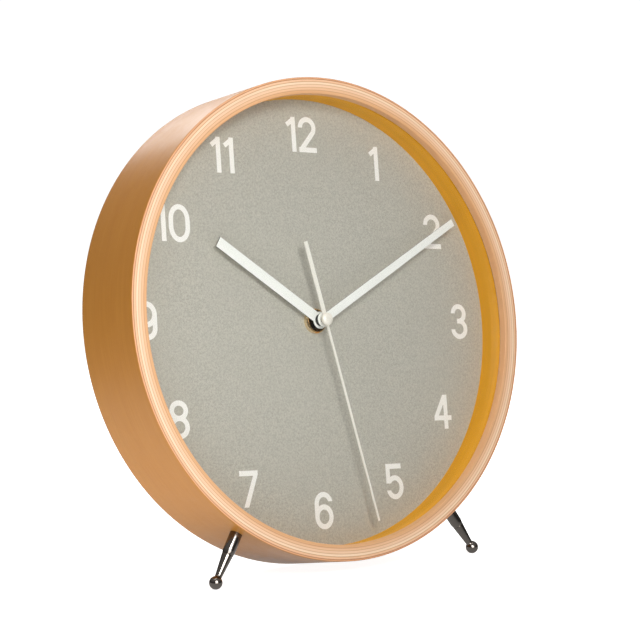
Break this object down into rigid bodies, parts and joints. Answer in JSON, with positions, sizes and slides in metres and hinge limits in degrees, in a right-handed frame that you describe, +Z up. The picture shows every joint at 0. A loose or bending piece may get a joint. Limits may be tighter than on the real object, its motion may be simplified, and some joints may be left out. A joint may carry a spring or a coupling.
{
  "type": "mantel clock",
  "caption": "Round bentwood mantel clock leaning on turned metal legs, with a glazed printed dial, white hands and a quartz movement running on a dry cell.",
  "frame": {"origin": "on the table, under the middle of the clock's bounding box", "axes": "+Z up, the dial faces -Y leaning back, +X to the right seen from the front"},
  "size_m": [0.2, 0.0648, 0.203],
  "materials": {
    "bentwood": "clear satin lacquer over moulded plywood",
    "glass": "clear flat mineral glass",
    "liner": "satin golden ochre strip",
    "dial_print": "matt warm grey print",
    "board": "plain brown hardboard",
    "ink": "matt white ink",
    "hand_white": "satin white enamel",
    "hand_cream": "satin cream enamel",
    "boss_cream": "satin cream cap",
    "brass": "turned brass",
    "black_moulding": "fine spark-eroded black moulding",
    "gear_white": "natural acetal",
    "gear_black": "black acetal",
    "gear_amber": "amber acetal",
    "steel": "plain steel",
    "magnet": "sintered ferrite",
    "copper": "enamelled copper wire",
    "board_green": "solder-masked board",
    "tin": "drawn metal can",
    "epoxy": "cured black epoxy",
    "nickel_strip": "nickel-plated strip",
    "cell_label": "plain printed sleeve",
    "gunmetal": "polished black nickel",
    "rubber": "soft black rubber"
  },
  "bodies": {
    "case": {"case_ring": "bentwood", "lens_glass": "glass", "side_liner": "liner", "retaining_hoop": "liner", "leg_left": "gunmetal", "leg_right": "gunmetal", "leg_studs": "steel", "dial_sheet": "dial_print", "dial_board": "board", "numerals": "ink", "shaft_bush": "brass", "shaft_nut": "brass", "gasket": "rubber", "movement_tray": "black_moulding", "movement_cover": "black_moulding", "train_plate": "gear_white", "stator_plate": "steel", "coil_core": "steel", "coil_bobbin": "gear_white", "coil_winding": "copper", "circuit_board": "board_green", "quartz_crystal": "tin", "circuit_chip": "epoxy", "contact_minus": "nickel_strip", "contact_plus": "nickel_strip"},
    "seconds": {"second_hand": "hand_cream", "second_boss": "boss_cream", "second_collet": "brass", "second_arbor": "steel", "second_wheel": "gear_amber"},
    "rotor": {"rotor_magnet": "magnet", "rotor_pinion": "gear_white"},
    "intermediate": {"intermediate_wheel": "gear_amber"},
    "third": {"third_wheel": "gear_white"},
    "centre": {"centre_wheel": "gear_amber"},
    "minutes": {"minute_hand": "hand_white", "minute_collet": "brass", "minute_arbor": "brass"},
    "motion_wheel": {"minute_wheel": "gear_white"},
    "hours": {"hour_hand": "hand_white", "hour_collet": "brass", "hour_wheel": "gear_black"},
    "setting": {"setting_knob": "gear_white", "setting_pinion": "gear_white"},
    "battery": {"cell": "tin", "cell_sleeve": "cell_label"}
  },
  "joints": [
    {"name": "second_hand_turn", "type": "hinge", "parent": "case", "child": "seconds", "pos_m": [0, 0.00906, 0.10022], "axis": [0, 0.9896, -0.1435], "continuous": true},
    {"name": "intermediate_turn", "type": "hinge", "parent": "case", "child": "intermediate", "pos_m": [0.00542, 0.01146, 0.10846], "axis": [0, 0.9896, -0.1435], "continuous": true},
    {"name": "rotor_turn", "type": "hinge", "parent": "case", "child": "rotor", "pos_m": [0.00928, 0.01362, 0.11428], "axis": [0, 0.9896, -0.1435], "continuous": true},
    {"name": "third_wheel_turn", "type": "hinge", "parent": "case", "child": "third", "pos_m": [-0.00942, 0.00843, 0.10425], "axis": [0, 0.9896, -0.1435], "continuous": true},
    {"name": "centre_wheel_turn", "type": "hinge", "parent": "case", "child": "centre", "pos_m": [0, 0.00668, 0.10056], "axis": [0, 0.9896, -0.1435], "continuous": true},
    {"name": "minute_hand_turn", "type": "hinge", "parent": "case", "child": "minutes", "pos_m": [0, 0.0045, 0.10088], "axis": [0, 0.9896, -0.1435], "continuous": true},
    {"name": "minute_wheel_turn", "type": "hinge", "parent": "case", "child": "motion_wheel", "pos_m": [0.00899, 0.00445, 0.10049], "axis": [0, 0.9896, -0.1435], "continuous": true},
    {"name": "hour_hand_turn", "type": "hinge", "parent": "case", "child": "hours", "pos_m": [0, 0.00332, 0.10105], "axis": [0, 0.9896, -0.1435], "continuous": true},
    {"name": "setting_knob_turn", "type": "hinge", "parent": "case", "child": "setting", "pos_m": [0.01798, 0.01547, 0.09849], "axis": [0, 0.9896, -0.1435], "continuous": true},
    {"name": "cell_out", "type": "slide", "parent": "case", "child": "battery", "axis": [0, 0.9896, -0.1435], "range_m": [0, 0.016]}
  ],
  "couplings": [
    {"joint": "intermediate_turn", "follows": "second_hand_turn", "ratio": -6},
    {"joint": "rotor_turn", "follows": "second_hand_turn", "ratio": 30},
    {"joint": "third_wheel_turn", "follows": "second_hand_turn", "ratio": -0.13333},
    {"joint": "centre_wheel_turn", "follows": "second_hand_turn", "ratio": 0.016667},
    {"joint": "minute_wheel_turn", "follows": "minute_hand_turn", "ratio": -0.33333},
    {"joint": "hour_hand_turn", "follows": "minute_hand_turn", "ratio": 0.083333},
    {"joint": "setting_knob_turn", "follows": "minute_hand_turn", "ratio": 1}
  ]
}
